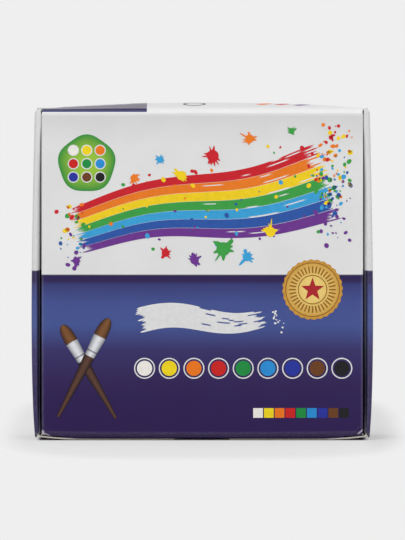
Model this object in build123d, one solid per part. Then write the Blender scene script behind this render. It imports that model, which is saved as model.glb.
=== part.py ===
"""A carton of nine gouache paints, standing upright on its front wall with the lid facing the viewer.

The carton is one printed sheet of folding boxboard: a tray with rolled double side walls, and a lid that
hangs from the crease at the top, tucks in behind the front wall and has two side flaps. Each panel between
two creases is its own solid. Nine screw-cap jars lie behind the lid in three rows of three.

Millimetres. X runs across the lid, Z is up, and -Y is the side that the lid faces. The origin is on the
floor, under the middle of the carton.
"""

from build123d import *
import math
import os

# Boxboard
board = 0.5  # thickness of the folding boxboard
crease_radius = 1.1  # outer radius of a folded edge
fold_lip = 0.1  # flat bit of a panel past its bend, before the next panel starts
crease_gap = 0.05  # slit between two panels where the sheet is creased
hinge_setback = 0.15  # the back wall's edge lies this far behind the lid's face
hinge_edge_round = 0.3  # rounding of that edge
cut_edge_round = 0.3  # rounding of the base panel's folded edges

# Jars
paint_rows = [
    ["white", "lemon", "orange"],
    ["scarlet", "green", "sky_blue"],
    ["ultramarine", "brown", "black"],
]
cap_diameter = 39.6  # over the grip ribs
cap_skirt = 11.0  # height of the cap, over its skirt and its top
cap_wall = 1.1  # wall of the skirt, under the ribs
cap_top = 1.5  # thickness of the cap's top
cap_edge_radius = 1.2  # rounding of the cap's top edge
rib_count = 48
rib_depth = 0.35  # how deep the grooves between the grip ribs are
groove_radius = 0.85  # round groove between two ribs
label_recess = 0.3  # sunk round field on the cap, where a swatch label sits
label_diameter = 31.0
liner_thickness = 0.9  # soft sealing disc inside the cap
liner_play = 0.3  # between the liner's edge and the skirt
neck_play = 0.9  # between the neck and the skirt, where the thread runs
neck_height = 9.0  # from the shoulder to the rim
shoulder_step = 1.3  # how far the body stands out past the neck
shoulder_drop = 1.0  # height of the sloping shoulder
body_height = 26.1  # from the foot to the top of the shoulder
body_taper = 1.4  # how much the body narrows towards its foot, on the radius
jar_wall = 1.1
foot_rise = 1.8  # how far the bottom is raised inside the foot ring
foot_ring = 2.6  # width of the foot ring
foot_round = 0.6
paint_play = 0.03  # between the paint and the jar's wall

# Clearances round the jars
cap_gap = 1.0  # between two neighbouring caps
jar_side_clearance = 0.3  # caps to the lid's side flaps
jar_front_clearance = 0.5  # caps to the tuck flap
jar_back_clearance = 2.4  # caps to the back wall
headroom = 2.2  # caps to the lid

# Tray
lid_side_gap = 0.6  # dark gap between the lid and the rolled walls
ear_play = 0.25  # corner ear to each ply of the rolled wall
side_bow = 1.1  # how far the rolled walls bow out at half height
back_bulge = 2.4  # how far the back wall swells in its middle
front_corner_rise = 0.6  # how far the front wall's free edge lifts off the floor, before its corners
front_flat_width = 95.0  # part of the front wall's free edge that lies on the floor
front_corner_radius = 2.4  # the front wall's ends turn up round this radius into the corner ears
front_edge_drop = 1.3  # the front wall's free edge lies this far behind the lid's face
thumb_notch_radius = 10.4
rim_outer_radius = 0.9  # rounding of the rolled edge, outside
rim_inner_radius = 0.7  # rounding of the rolled edge, beside the lid
rim_corner_radius = 1.0  # rounding of the rolled edge's two outer corners
rim_foot_gap = 2.3  # height of the rolled walls' lower ends above the floor
inner_ply_gap = 0.5  # inner ply's ends to the front and back walls
lock_tab_width = 18.0
lock_tab_spacing = 62.0
slot_clearance = 0.15
ear_length = 25.0
ear_taper = 5.0
ear_end_gap = 0.6  # corner ears to the base panel and to the rolled rim
nearly_straight = 0.02  # bow or rise given to an edge that is straight on the real carton

# Lid
tuck_gap = 0.8  # tuck flap to the front wall
tuck_depth = 12.0  # from the lid's face to the flap's edge
tuck_inset = 7.2  # tuck flap's ends to the lid's sides
tuck_corner_radius = 9.0
side_flap_depth = 22.0
side_flap_taper = 7.0
side_flap_round = 3.0
side_flap_end_gap = 3.0  # side flaps to the tuck flap and to the hinge

# Sizes that follow from the ones above
cap_radius = cap_diameter / 2
skirt_inner_radius = cap_radius - rib_depth - cap_wall
neck_radius = skirt_inner_radius - neck_play
neck_bore_radius = neck_radius - jar_wall
shoulder_radius = neck_radius + shoulder_step
foot_radius = shoulder_radius - body_taper
fill_level = body_height - shoulder_drop
rim_height = body_height + neck_height
jar_height = rim_height + liner_thickness + cap_top
jar_pitch = cap_diameter + cap_gap

# Depth: the lid's face and the base's outer face
depth = board + jar_height + headroom + board
lid_face_y = -depth / 2
base_face_y = depth / 2
tray_floor_y = base_face_y - board
fold_y = lid_face_y + crease_radius + fold_lip  # where a fold ends and the next panel starts

# Width: from the jars out to the rolled walls
columns = len(paint_rows[0])
jar_block_half = (columns - 1) / 2 * jar_pitch + cap_radius
side_flap_inner_x = jar_block_half + jar_side_clearance
lid_half_width = side_flap_inner_x + board
inner_ply_x = lid_half_width + lid_side_gap
ear_inner_x = inner_ply_x + board + ear_play
ear_outer_x = ear_inner_x + board
outer_ply_x = ear_outer_x + ear_play
side_face_x = outer_ply_x + board

# Height: from the floor up to the back wall
free_edge_y = lid_face_y + front_edge_drop
tuck_outer_z = board + tuck_gap
tuck_inner_z = tuck_outer_z + board
first_row_z = tuck_inner_z + jar_front_clearance + cap_radius
rows = len(paint_rows)
back_inner_z = first_row_z + (rows - 1) * jar_pitch + cap_radius + jar_back_clearance
back_face_z = back_inner_z + board
mid_z = back_face_z / 2
lid_top_z = back_inner_z - crease_gap

os.makedirs("parts", exist_ok=True)
made = {}


def keep(name, shape):
    """Remembers a finished piece under its node name."""
    made[name] = shape


def block(x_range, y_range, z_range):
    """A plain rectangular block between two limits on each axis."""
    size = [high - low for low, high in (x_range, y_range, z_range)]
    middle = [(high + low) / 2 for low, high in (x_range, y_range, z_range)]
    return Pos(*middle) * Box(*size)


def both_sides(name, shape):
    """Keeps a right-hand piece and its mirror image on the left."""
    keep("right_" + name, shape)
    keep("left_" + name, mirror(shape, about=Plane.YZ))


def rounded(outline, points, radius):
    """The face of an outline, with the corners nearest the given points rounded."""
    face = make_face(Polyline(*outline, close=True))
    corners = [face.vertices().sort_by_distance(point)[0] for point in points]
    return fillet(corners, radius)


# Base panel: the side of the carton that faces away from the viewer


def lock_tab_heights():
    """Middle heights of the two lock tabs of each inner ply."""
    return [mid_z - lock_tab_spacing / 2, mid_z + lock_tab_spacing / 2]


def base_panel():
    """Flat panel that all four walls are creased to, with slots for the inner plies' lock tabs."""
    panel = block((-side_face_x, side_face_x), (tray_floor_y, base_face_y), (0, back_face_z))
    panel = fillet(panel.faces().sort_by(Axis.Y)[-1].edges(), cut_edge_round)
    slot_x = (inner_ply_x - slot_clearance, inner_ply_x + board + slot_clearance)
    slot_half = lock_tab_width / 2 + slot_clearance
    for z in lock_tab_heights():
        slot = block(slot_x, (tray_floor_y - board, base_face_y + board), (z - slot_half, z + slot_half))
        panel = panel - slot - mirror(slot, about=Plane.YZ)
    return panel


keep("base_panel", base_panel())

# Front wall: the carton stands on it


def front_rise(y):
    """Rise of the front wall's outer face beside its corners: most at the free edge, none at the base."""
    share = (tray_floor_y - y) / (tray_floor_y - free_edge_y)
    return max(nearly_straight, front_corner_rise * share)


def arc_across(side, centre, radius, angles, y):
    """An arc in the XZ plane through three angles, each from straight down towards X times the side."""
    return ThreePointArc(
        *[
            (side * (centre[0] + radius * math.sin(angle)), y, centre[1] - radius * math.cos(angle))
            for angle in angles
        ]
    )


def front_wall_section(y):
    """The wall's thickness seen along Y: flat, then a long shallow arc, then a tight one up into the ear."""
    flat = front_flat_width / 2
    rise = front_rise(y)
    reach = ear_outer_x - front_corner_radius - flat
    turn = 2 * math.atan(rise / reach)
    long_radius = front_corner_radius + reach / math.sin(turn)
    long_centre = (flat, long_radius)
    corner_centre = (ear_outer_x - front_corner_radius, front_corner_radius + rise)

    end_z = front_corner_radius + rise
    quarter = math.pi / 2
    edges = []
    for inset in (0, board):
        edges.append(Line((-flat, y, inset), (flat, y, inset)))
        for side in (-1, 1):
            long_angles = (0, turn / 2, turn)
            corner_angles = (turn, (turn + quarter) / 2, quarter)
            edges.append(arc_across(side, long_centre, long_radius - inset, long_angles, y))
            edges.append(arc_across(side, corner_centre, front_corner_radius - inset, corner_angles, y))
    for side in (-1, 1):
        edges.append(Line((side * ear_outer_x, y, end_z), (side * ear_inner_x, y, end_z)))
    return Face(Wire(edges))


def front_wall():
    """Single wall with a free edge behind the lid, corners turned up there, and a half-round thumb notch."""
    wall = loft([front_wall_section(free_edge_y), front_wall_section(tray_floor_y)], ruled=True)
    notch = Pos(0, free_edge_y, board / 2) * Cylinder(thumb_notch_radius, 4 * board)
    return wall - notch


keep("front_wall", front_wall())

# Back wall: the swollen panel on top, which carries the lid


def back_wall():
    """Single wall that swells like a pillow, flat along its creases and highest in its middle.

    Its front edge lies over the lid's top edge, between the two rolled rims.
    """
    start_y = lid_face_y + hinge_setback
    length = tray_floor_y - start_y
    stations = [0, 0.08, 0.25, 0.5, 0.75, 0.92, 1]
    sections = []
    for share in stations:
        swell = max(nearly_straight, back_bulge * math.sin(math.pi * share) ** 2)
        y = start_y + share * length
        inner_z = back_face_z - board
        skin = [
            ThreePointArc((-ear_outer_x, y, z), (0, y, z + swell), (ear_outer_x, y, z))
            for z in (back_face_z, inner_z)
        ]
        ends = [Line((x, y, back_face_z), (x, y, inner_z)) for x in (-ear_outer_x, ear_outer_x)]
        sections.append(Face(Wire(skin + ends)))
    wall = loft(sections)
    hinge_edge = wall.faces().sort_by(Axis.Y)[0].edges().sort_by(Axis.Z)[-1]
    wall = fillet(hinge_edge, hinge_edge_round)
    beside_rim = block(
        (lid_half_width, ear_outer_x + board),
        (lid_face_y, fold_y + crease_gap),
        (back_inner_z - board, back_face_z + board),
    )
    return wall - beside_rim - mirror(beside_rim, about=Plane.YZ)


keep("back_wall", back_wall())

# Rolled side walls: outer ply, rounded rim and inner ply


def side_arc(x, y, low_z, high_z, bow):
    """A vertical edge at x that bows out by the given amount at half height."""
    return ThreePointArc((x, y, low_z), (x + bow, y, (low_z + high_z) / 2), (x, y, high_z))


def outer_ply():
    """Outer skin of a side wall: straight where it is creased to the base, bowed along the rim."""
    sections = []
    for y, bow in ((fold_y, side_bow), (tray_floor_y, nearly_straight)):
        skin = [side_arc(x, y, rim_foot_gap, back_face_z, bow) for x in (outer_ply_x, side_face_x)]
        ends = [Line((outer_ply_x, y, z), (side_face_x, y, z)) for z in (rim_foot_gap, back_face_z)]
        sections.append(Face(Wire(skin + ends)))
    return loft(sections, ruled=True)


def rim_outline(inset, y, past_ends):
    """The rolled edge seen from the front, drawn in by the inset on its two long sides."""
    inner_x = inner_ply_x + inset
    outer_x = side_face_x - inset
    low_z, high_z = rim_foot_gap - past_ends, back_face_z + past_ends
    return Face(
        Wire(
            [
                Line((inner_x, y, low_z), (inner_x, y, high_z)),
                side_arc(outer_x, y, low_z, high_z, side_bow),
                Line((inner_x, y, low_z), (outer_x, y, low_z)),
                Line((inner_x, y, high_z), (outer_x, y, high_z)),
            ]
        )
    )


def rim():
    """The rolled edge that turns the outer ply over into the inner ply, a hollow gutter of board."""
    solid = extrude(rim_outline(0, lid_face_y, 0), fold_y - lid_face_y, dir=(0, 1, 0))
    corners = solid.edges().filter_by(Axis.Y).group_by(Axis.X)[-1]
    solid = fillet(corners, rim_corner_radius)
    front_edges = solid.faces().sort_by(Axis.Y)[0].edges()
    inner_edge = front_edges.sort_by(Axis.X)[0]
    solid = fillet(inner_edge, rim_inner_radius)
    front_edges = solid.faces().sort_by(Axis.Y)[0].edges()
    outer_edges = [edge for edge in front_edges if edge.center().X > side_face_x - rim_corner_radius]
    solid = fillet(outer_edges, rim_outer_radius)
    hollow = extrude(rim_outline(board, lid_face_y + board, board), fold_y - lid_face_y, dir=(0, 1, 0))
    return solid - hollow


def inner_ply():
    """Inner skin of a side wall, rolled down from the rim, with lock tabs through the base panel."""
    low_z = front_corner_radius + front_corner_rise + inner_ply_gap
    high_z = back_inner_z - inner_ply_gap
    x_range = (inner_ply_x, inner_ply_x + board)
    ply = block(x_range, (fold_y, tray_floor_y), (low_z, high_z))
    for z in lock_tab_heights():
        ply = ply + block(x_range, (tray_floor_y, base_face_y), (z - lock_tab_width / 2, z + lock_tab_width / 2))
    return ply


both_sides("outer_ply", outer_ply())
both_sides("rolled_rim", rim())
both_sides("inner_ply", inner_ply())

# Corner ears: flaps of the front and back walls, tucked between the plies


def ear(near_root_z, far_root_z, length):
    """A tapered flap in the hollow of the rolled wall, as long as stated, up or down from a wall's end."""
    near_y = fold_y + ear_end_gap
    far_y = tray_floor_y - ear_end_gap
    x = ear_inner_x
    outline = [
        (x, near_y, near_root_z),
        (x, far_y, far_root_z),
        (x, far_y - ear_taper, far_root_z + length),
        (x, near_y + ear_taper, far_root_z + length),
    ]
    return extrude(make_face(Polyline(*outline, close=True)), board, dir=(1, 0, 0))


front_ear_roots = [
    front_corner_radius + front_rise(y) + crease_gap
    for y in (fold_y + ear_end_gap, tray_floor_y - ear_end_gap)
]
back_ear_root = back_inner_z - crease_gap
both_sides("front_ear", ear(*front_ear_roots, ear_length))
both_sides("back_ear", ear(back_ear_root, back_ear_root, -ear_length))

# Lid


def lid_panel():
    """The printed face, turned in with a rounded fold along its sides and its lower edge.

    Its plain top edge is creased to the back wall, and the lid turns about that crease.
    """
    overshoot = crease_radius
    solid = block(
        (-lid_half_width, lid_half_width),
        (lid_face_y, fold_y),
        (tuck_outer_z, lid_top_z + overshoot),
    )
    folds = solid.faces().sort_by(Axis.Y)[0].edges().sort_by(Axis.Z)[:-1]
    solid = fillet(folds, crease_radius)
    cavity = block(
        (-side_flap_inner_x, side_flap_inner_x),
        (lid_face_y + board, fold_y + board),
        (tuck_inner_z, lid_top_z + 2 * overshoot),
    )
    folds = cavity.faces().sort_by(Axis.Y)[0].edges().sort_by(Axis.Z)[:-1]
    cavity = fillet(folds, crease_radius - board)
    above = block(
        (-side_face_x, side_face_x),
        (lid_face_y - board, fold_y + board),
        (lid_top_z, lid_top_z + 3 * overshoot),
    )
    return solid - cavity - above


def tuck_flap():
    """Flap along the lid's lower edge, tucked in behind the front wall, with rounded corners."""
    half = lid_half_width - tuck_inset
    root_y = fold_y + crease_gap
    tip_y = lid_face_y + tuck_depth
    z = tuck_outer_z
    outline = [(-half, root_y, z), (half, root_y, z), (half, tip_y, z), (-half, tip_y, z)]
    return extrude(rounded(outline, outline[2:], tuck_corner_radius), board, dir=(0, 0, 1))


def side_flap():
    """Flap along the lid's side, tucked in between the inner ply and the jars, with tapered ends."""
    root_y = fold_y
    tip_y = lid_face_y + side_flap_depth
    low_z = tuck_inner_z + side_flap_end_gap
    high_z = back_inner_z - side_flap_end_gap
    x = side_flap_inner_x
    outline = [
        (x, root_y, low_z),
        (x, tip_y, low_z + side_flap_taper),
        (x, tip_y, high_z - side_flap_taper),
        (x, root_y, high_z),
    ]
    return extrude(rounded(outline, outline[1:3], side_flap_round), board, dir=(1, 0, 0))


keep("lid_panel", lid_panel())
keep("lid_tuck_flap", tuck_flap())
both_sides("lid_side_flap", side_flap())

# Jars, drawn standing on their foot and then laid down with their caps towards the lid


def turned(points):
    """A solid of revolution about Z from (radius, height) points."""
    return revolve(make_face(Polyline(*[(r, 0, h) for r, h in points], close=True)), Axis.Z)


def jar_body():
    """Tapered moulded jar with a raised bottom, a sloping shoulder and a plain neck."""
    floor = foot_rise + jar_wall
    body = turned(
        [
            (0, foot_rise),
            (foot_radius - foot_ring, foot_rise),
            (foot_radius - foot_ring, 0),
            (foot_radius, 0),
            (shoulder_radius, fill_level),
            (neck_radius, body_height),
            (neck_radius, rim_height),
            (neck_bore_radius, rim_height),
            (neck_bore_radius, body_height),
            (shoulder_radius - jar_wall, fill_level),
            (foot_radius - jar_wall, floor),
            (0, floor),
        ]
    )
    foot_edge = body.edges().filter_by(GeomType.CIRCLE).group_by(Axis.Z)[0].sort_by(SortBy.RADIUS)[-1]
    return fillet(foot_edge, foot_round)


def paint():
    """The jar's filling of paint, up to the shoulder's lower edge."""
    floor = foot_rise + jar_wall
    inner_wall = jar_wall + paint_play
    return turned(
        [
            (0, floor),
            (foot_radius - inner_wall, floor),
            (shoulder_radius - inner_wall, fill_level),
            (0, fill_level),
        ]
    )


def cap_liner():
    """Soft disc that seals the jar's rim and rises with the cap."""
    radius = skirt_inner_radius - liner_play
    return Pos(0, 0, rim_height + liner_thickness / 2) * Cylinder(radius, liner_thickness)


def cap():
    """Screw cap with round grooves between its grip ribs and a sunk round field on top."""
    foot = jar_height - cap_skirt
    blank = turned(
        [
            (0, foot),
            (cap_radius, foot),
            (cap_radius, jar_height),
            (0, jar_height),
        ]
    )
    top_edge = blank.edges().filter_by(GeomType.CIRCLE).group_by(Axis.Z)[-1]
    blank = fillet(top_edge, cap_edge_radius)
    groove_centre = cap_radius - rib_depth + groove_radius
    groove = Cylinder(groove_radius, cap_skirt - cap_edge_radius, align=(Align.CENTER, Align.CENTER, Align.MIN))
    grooves = [
        Rot(0, 0, 360 * number / rib_count) * Pos(groove_centre, 0, foot) * groove
        for number in range(rib_count)
    ]
    bore_height = cap_skirt - cap_top
    bore = Pos(0, 0, foot + bore_height / 2) * Cylinder(skirt_inner_radius, bore_height)
    field = Pos(0, 0, jar_height) * Cylinder(label_diameter / 2, 2 * label_recess)
    return blank - grooves - bore - field


jar_pieces = {"jar_body": jar_body(), "paint": paint(), "cap_liner": cap_liner(), "jar_cap": cap()}

for row, colours in enumerate(reversed(paint_rows)):
    for column, colour in enumerate(colours):
        x = (column - (columns - 1) / 2) * jar_pitch
        z = first_row_z + row * jar_pitch
        place = Pos(x, tray_floor_y, z) * Rot(90, 0, 0)
        for piece, shape in jar_pieces.items():
            keep(f"{piece}_{colour}", place * shape)

for name, shape in made.items():
    export_step(shape, f"parts/{name}.step")

print("lid hinge axis y, z:", round(lid_face_y, 3), round(lid_top_z, 3))
print("tuck flap axis y, z:", round(fold_y, 3), round(tuck_outer_z, 3))
print("jar pitch:", jar_pitch, "first row z:", round(first_row_z, 3), "tray floor y:", round(tray_floor_y, 3))
print("jar height:", jar_height, "rim height:", rim_height, "fill level:", fill_level)
print("paint volume, ml:", round(jar_pieces["paint"].volume / 1000, 2))
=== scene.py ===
# %% [markdown]
# # A carton of nine gouache paints
#
# A folding carton stands on its narrow front wall, with its printed lid towards the viewer and nine jars
# behind the lid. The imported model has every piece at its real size. This notebook gives the pieces their
# looks, and works out each new surface from the sizes of the piece that it stands for.

import math
from functools import partial
from math import pi

import bmesh
import bpy
import numpy as np
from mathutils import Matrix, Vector
from numpy import cos, sin


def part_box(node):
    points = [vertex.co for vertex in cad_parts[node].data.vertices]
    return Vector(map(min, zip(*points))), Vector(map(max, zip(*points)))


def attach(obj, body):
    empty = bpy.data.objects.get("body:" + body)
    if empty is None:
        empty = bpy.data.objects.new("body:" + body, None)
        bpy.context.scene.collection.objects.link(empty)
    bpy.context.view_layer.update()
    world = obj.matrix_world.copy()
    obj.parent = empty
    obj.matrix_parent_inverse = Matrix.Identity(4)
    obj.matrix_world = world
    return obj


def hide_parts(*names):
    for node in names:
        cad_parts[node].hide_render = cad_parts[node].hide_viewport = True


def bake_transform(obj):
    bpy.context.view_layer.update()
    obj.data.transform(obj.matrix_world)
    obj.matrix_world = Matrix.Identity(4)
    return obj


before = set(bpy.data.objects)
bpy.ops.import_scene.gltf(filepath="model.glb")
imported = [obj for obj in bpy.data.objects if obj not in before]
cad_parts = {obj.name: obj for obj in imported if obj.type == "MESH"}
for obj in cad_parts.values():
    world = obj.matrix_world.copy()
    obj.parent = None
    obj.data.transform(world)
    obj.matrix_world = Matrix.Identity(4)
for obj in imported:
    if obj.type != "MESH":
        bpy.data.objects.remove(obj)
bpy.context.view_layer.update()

# %% [markdown]
# ## Sizes
#
# Shapes are worked out in millimetres, as cartons are drawn, and turned to metres when a mesh is made. Sizes
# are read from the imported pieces, so a surface can't drift from the piece that it replaces. X runs across
# the lid, Z is up, and the lid faces -Y.

# %% Read the carton's sizes
board = 0.5  # thickness of the boxboard


def box_mm(node):
    """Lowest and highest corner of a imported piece, in millimetres."""
    return [np.array(corner) * 1000 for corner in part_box(node)]


lid_low, lid_high = box_mm("lid_panel")
tuck_low, tuck_high = box_mm("lid_tuck_flap")
ply_low, ply_high = box_mm("right_outer_ply")
inner_low, inner_high = box_mm("right_inner_ply")
front_low, front_high = box_mm("front_wall")
base_low, base_high = box_mm("base_panel")

lid_half = lid_high[0]  # half of the lid's width
face_y = lid_low[1]  # outer face of the lid
fold_y = lid_high[1]  # where a folded edge ends and the next panel starts
lid_foot_z = lid_low[2]
floor_y = base_low[1]  # inner face of the base panel
wall_half = base_high[0]  # half of the carton's width
ear_half = front_high[0]  # half width over the corner ears, between the plies
corner_z = base_high[2]  # height of the carton at its corners
bulge = box_mm("back_wall")[1][2] - corner_z  # height of the swelling of the top panel
print("lid", round(2 * lid_half, 1), "mm wide; carton", np.round([2 * wall_half, corner_z], 1), "mm")

# %% [markdown]
# ## Camera
#
# The photograph was taken from far away with a long lens, a little above the box: the lid's sides stay
# parallel, and only a strip of the top shows. A camera three metres away gives that without lens shift.

# %% Place the camera
photo_width, photo_height = 405, 540
photo_scale = 2.625  # pixels per millimetre on the lid's face
box_middle_px, floor_line_px = 202.3, 440.6
camera_distance, camera_height = 3000, 182
sensor = 36


def aimed(data, place, target):
    """Puts a camera or a lamp at a place, looking at a target, both in metres."""
    made = bpy.data.objects.new(data.name, data)
    made.location = place
    made.rotation_mode = "QUATERNION"
    made.rotation_quaternion = (Vector(target) - Vector(place)).to_track_quat("-Z", "Y")
    bpy.context.scene.collection.objects.link(made)
    return made


aim_x = (photo_width / 2 - box_middle_px) / photo_scale
aim = Vector((aim_x, face_y, (floor_line_px - photo_height / 2) / photo_scale))
eye = Vector((aim_x, face_y - camera_distance, camera_height))
camera_data = bpy.data.cameras.new("camera")
camera_data.sensor_width = sensor
camera_data.lens = sensor * (aim - eye).length / (photo_height / photo_scale)
camera_data.clip_start, camera_data.clip_end = 0.05, 60
bpy.context.scene.camera = aimed(camera_data, eye / 1000, aim / 1000)
bpy.context.scene.view_settings.view_transform = "Standard"
print("lens, mm:", round(camera_data.lens))

# %% [markdown]
# ## Colours and nodes
#
# Colours are written as sRGB hex values, and one function turns them to the linear light that shaders use.
# Another adds a node, and a third starts a material. Patterns are measured in millimetres in the piece's own
# coordinates, so they stay with the piece when it moves.

# %% Helpers for materials
usual = {  # how this notebook uses a kind of node: its sockets in a row, its output and its setting
    "Mix": ((0, 6, 7), 2, {"data_type": "RGBA"}),
    "MapRange": (range(5), 0, {"interpolation_type": "SMOOTHSTEP"}),
    "TexNoise": (("Vector", "Scale", "Detail", "Roughness", "Distortion"), 0, {}),
    "Bump": (("Height", "Distance", "Strength"), 0, {}),
}


def linear(colour):
    """An sRGB hex colour as linear red, green, blue and alpha."""
    parts = [int(colour[start : start + 2], 16) / 255 for start in (1, 3, 5)]
    return (*[c / 12.92 if c <= 0.04045 else ((c + 0.055) / 1.055) ** 2.4 for c in parts], 1.0)


def add_node(tree, kind, *inputs, give=None, **settings):
    """Adds a node and gives one of its outputs. Inputs are numbers, hex colours or outputs, in a row."""
    sockets, usual_output, usual_settings = usual.get(kind, (range(3), 0, {}))
    node = tree.nodes.new("ShaderNode" + kind)
    for name, value in (usual_settings | settings).items():
        setattr(node, name, value)
    for socket, value in zip(sockets, inputs):
        if isinstance(value, bpy.types.NodeSocket):
            tree.links.new(value, node.inputs[socket])
        else:
            node.inputs[socket].default_value = linear(value) if isinstance(value, str) else value
    return node.outputs[usual_output if give is None else give]


def new_finish(name, colour, bump, **sockets):
    """A material with fine bumps of a size and depth in mm, and sockets that hold all over the surface.

    The colour is one hex value, or a function that adds nodes and works it out from a point's place in mm.
    """
    material = bpy.data.materials.new(name)
    material.use_nodes = True
    tree = material.node_tree
    add = partial(add_node, tree)
    shader = tree.nodes["Principled BSDF"].inputs
    for socket, value in sockets.items():
        shader[socket.replace("_", " ")].default_value = value
    place = add("VectorMath", add("TexCoord", give="Object"), (1000, 1000, 1000), operation="MULTIPLY")
    if callable(colour):
        tree.links.new(colour(add, place), shader["Base Color"])
    else:
        shader["Base Color"].default_value = linear(colour)
    size, depth = bump
    normal = add("Bump", add("TexNoise", place, 1 / size, 3.0), depth / 1000, 1.0)
    tree.links.new(normal, shader["Normal"])
    return material


def mottled(add, place, colour, size, darkest, *detail):
    """A colour that clouds of a size in mm darken here and there, to a share of itself."""
    tone = add("MapRange", add("TexNoise", place, 1 / size, *detail), 0.3, 0.7, darkest, 1.0)
    return add("Mix", 1.0, colour, add("CombineColor", tone, tone, tone), blend_type="MULTIPLY")


def banded(add, share, stops):
    """Colours that run into one another along a share from 0 to 1, each with its own stop."""
    colour = add("ValToRGB", share)
    elements = colour.node.color_ramp.elements
    for number, (stop, shade) in enumerate(stops):
        element = elements[number] if number < 2 else elements.new(stop)
        element.position, element.color = stop, linear(shade)
    return colour


print("white board, linear:", [round(c, 3) for c in linear("#dfdfdf")])

# %% [markdown]
# ## Printed boxboard
#
# Folding boxboard is pressed from layers of pulp. Its outer side has a smooth clay coating for the print and
# a thin lacquer, its inner side is bare grey-white pulp with fibres in it, and its cut edge shows pale
# layers. The print is a white band above a violet one that is bluer in its upper half, with a dark line
# between them. The bands run round the carton, so the colour is read from the height of each point. Where
# the board is folded, the coating cracks, and each sheet carries an attribute that says how sharply it is
# bent there. Along sharp bends the print is painted paler: partly stretched coating, and mostly a painted
# highlight on the fold. On the lid the white has painted shade below the crease and a painted highlight on
# it.

# %% The bands of the print
ramp_height = 130.0
ink_stops = [  # height above the floor in mm, and the ink's colour there
    (0.0, "#2c194f"), (15.5, "#2b1b50"), (23.1, "#302154"), (34.5, "#363065"), (44.0, "#43538f"),
    (52.4, "#424f8c"), (59.3, "#363b72"), (60.8, "#2c2051"),
]
lid_white_with_painted_light = [  # the coating, with painted shade below the crease, and a painted highlight on it
    (112.0, "#dcdcdc"), (123.6, "#d1d1d1"), (124.5, "#dcdcdc"), (125.0, "#ececec"), (125.7, "#e9e9e9"),
    (126.4, "#e0e0e0"), (127.3, "#d6d6d6"),
]
wall_white = [(ramp_height, "#d6d6d6")]
lid_split, wall_split = 63.3, 64.8  # height where white meets violet
band_line = 0.12  # how soft the edge of a printed band is
crisp = 0.1  # and that of a printed field
fibre_size, cloud_size, layer_size = 0.9, 12, 0.35  # of the pulp's flecks, clouds and layers
tint_size, grain_size = 18, 1.5  # of the print's slow and fine unevenness


def print_colour(add, place, split_z=wall_split, white=wall_white):
    """The two printed bands: a ramp of colours over the height, dark line and white above the split."""
    share = add("Math", add("SeparateXYZ", place, give="Z"), ramp_height, operation="DIVIDE")
    stops = [*ink_stops, (split_z - band_line, "#2a1f4c"), (split_z, white[0][1]), *white]
    bands = banded(add, share, [(z / ramp_height, colour) for z, colour in stops])
    return mottled(add, place, bands, tint_size, 0.965, 2.0)


def worn_and_highlighted(add, place, colour):
    """Paler along sharp bends, as stretched print with a painted fold highlight; scuffed to the pulp, with a
    painted highlight.
    """
    grain = add("TexNoise", place, 1 / fibre_size, 4.0, 0.65)
    # the bend mark paints a highlight along folds as well as stretched print; the scuff mark paints wear and
    # the highlight of a crumpled corner
    wear_and_sheen = {"bend": ((0.4, 0.7, 0.04, 0.08), "#f0edf2"), "scuff_and_highlight": ((0.3, 0.5, 0.7, 1.0), "#d6cfdc")}
    for mark, (strength, paler) in wear_and_sheen.items():
        amount = add("Attribute", give="Fac", attribute_name=mark)
        share = add("Math", amount, add("MapRange", grain, *strength), operation="MULTIPLY")
        colour = add("Mix", share, colour, paler)
    return colour


print("white meets violet, mm: on the lid at", lid_split, "and on the walls at", wall_split)

# %% Where the ink ends on the rims, and the violet field on top
ink_end = 62.25  # distance from the middle at which the ink of the side walls ends
field_end = -21.1
field_low, field_high = 125.2, 126.6  # the field starts on the crease, with a dark line, a painted highlight and painted shade along its edge
# from the field's lower edge: a dark line, a lighter blue painted highlight on the fold, a dark band of
# painted shade behind its ridge, then the field's violet
field_stops_with_painted_light = [
    (0.0, "#1a1746"), (0.1, "#383d72"), (0.35, "#474c82"),
    (0.5, "#1b1040"), (0.68, "#1b1040"), (1.0, "#2c1146"),
]


def trimmed_ink(add, place, colour):
    """Beside the lid the ink stops short on a strip, pale grey above the split and darker grey below; the
    violet is darker at its edge.
    """
    parts = add("SeparateXYZ", place).node.outputs
    aside = add("Math", parts["X"], operation="ABSOLUTE")
    below = add("MapRange", parts["Z"], wall_split - band_line, wall_split, 1.0, 0.0)
    near_edge = add("MapRange", aside, ink_end + 0.3, ink_end + 1.3, 0.9, 0.0)
    near_edge = add("Math", near_edge, below, operation="MULTIPLY")
    colour = add("Mix", near_edge, colour, "#110f33")
    bare = add("MapRange", aside, ink_end - crisp, ink_end + crisp, 1.0, 0.0)
    return add("Mix", bare, colour, add("Mix", below, "#d4d4d4", "#7d7d8b"))


def violet_field(add, place, colour):
    """A field at the left of the top: by height on the crease, painted highlight and painted shade; further
    in, one violet.
    """
    parts = add("SeparateXYZ", place).node.outputs
    left = add("MapRange", parts["X"], field_end - crisp, field_end + crisp, 1.0, 0.0)
    above = add("MapRange", parts["Z"], field_low - crisp, field_low + crisp)
    within = add("Math", left, above, operation="MULTIPLY")
    inward = add("MapRange", parts["Y"], face_y + 1.5, face_y + 4.5, 0.0, 2.0)
    share = add("MapRange", add("Math", parts["Z"], inward), field_low, field_high)
    return add("Mix", within, colour, banded(add, share, field_stops_with_painted_light))


print("field on top ends at", field_end, "mm; ink on the rims at", ink_end, "mm")

# %% The sides of the board
lacquer = {"bump": (0.8, 0.006), "Roughness": 0.42, "Specular_IOR_Level": 0.14}  # thin, with a soft sheen


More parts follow.
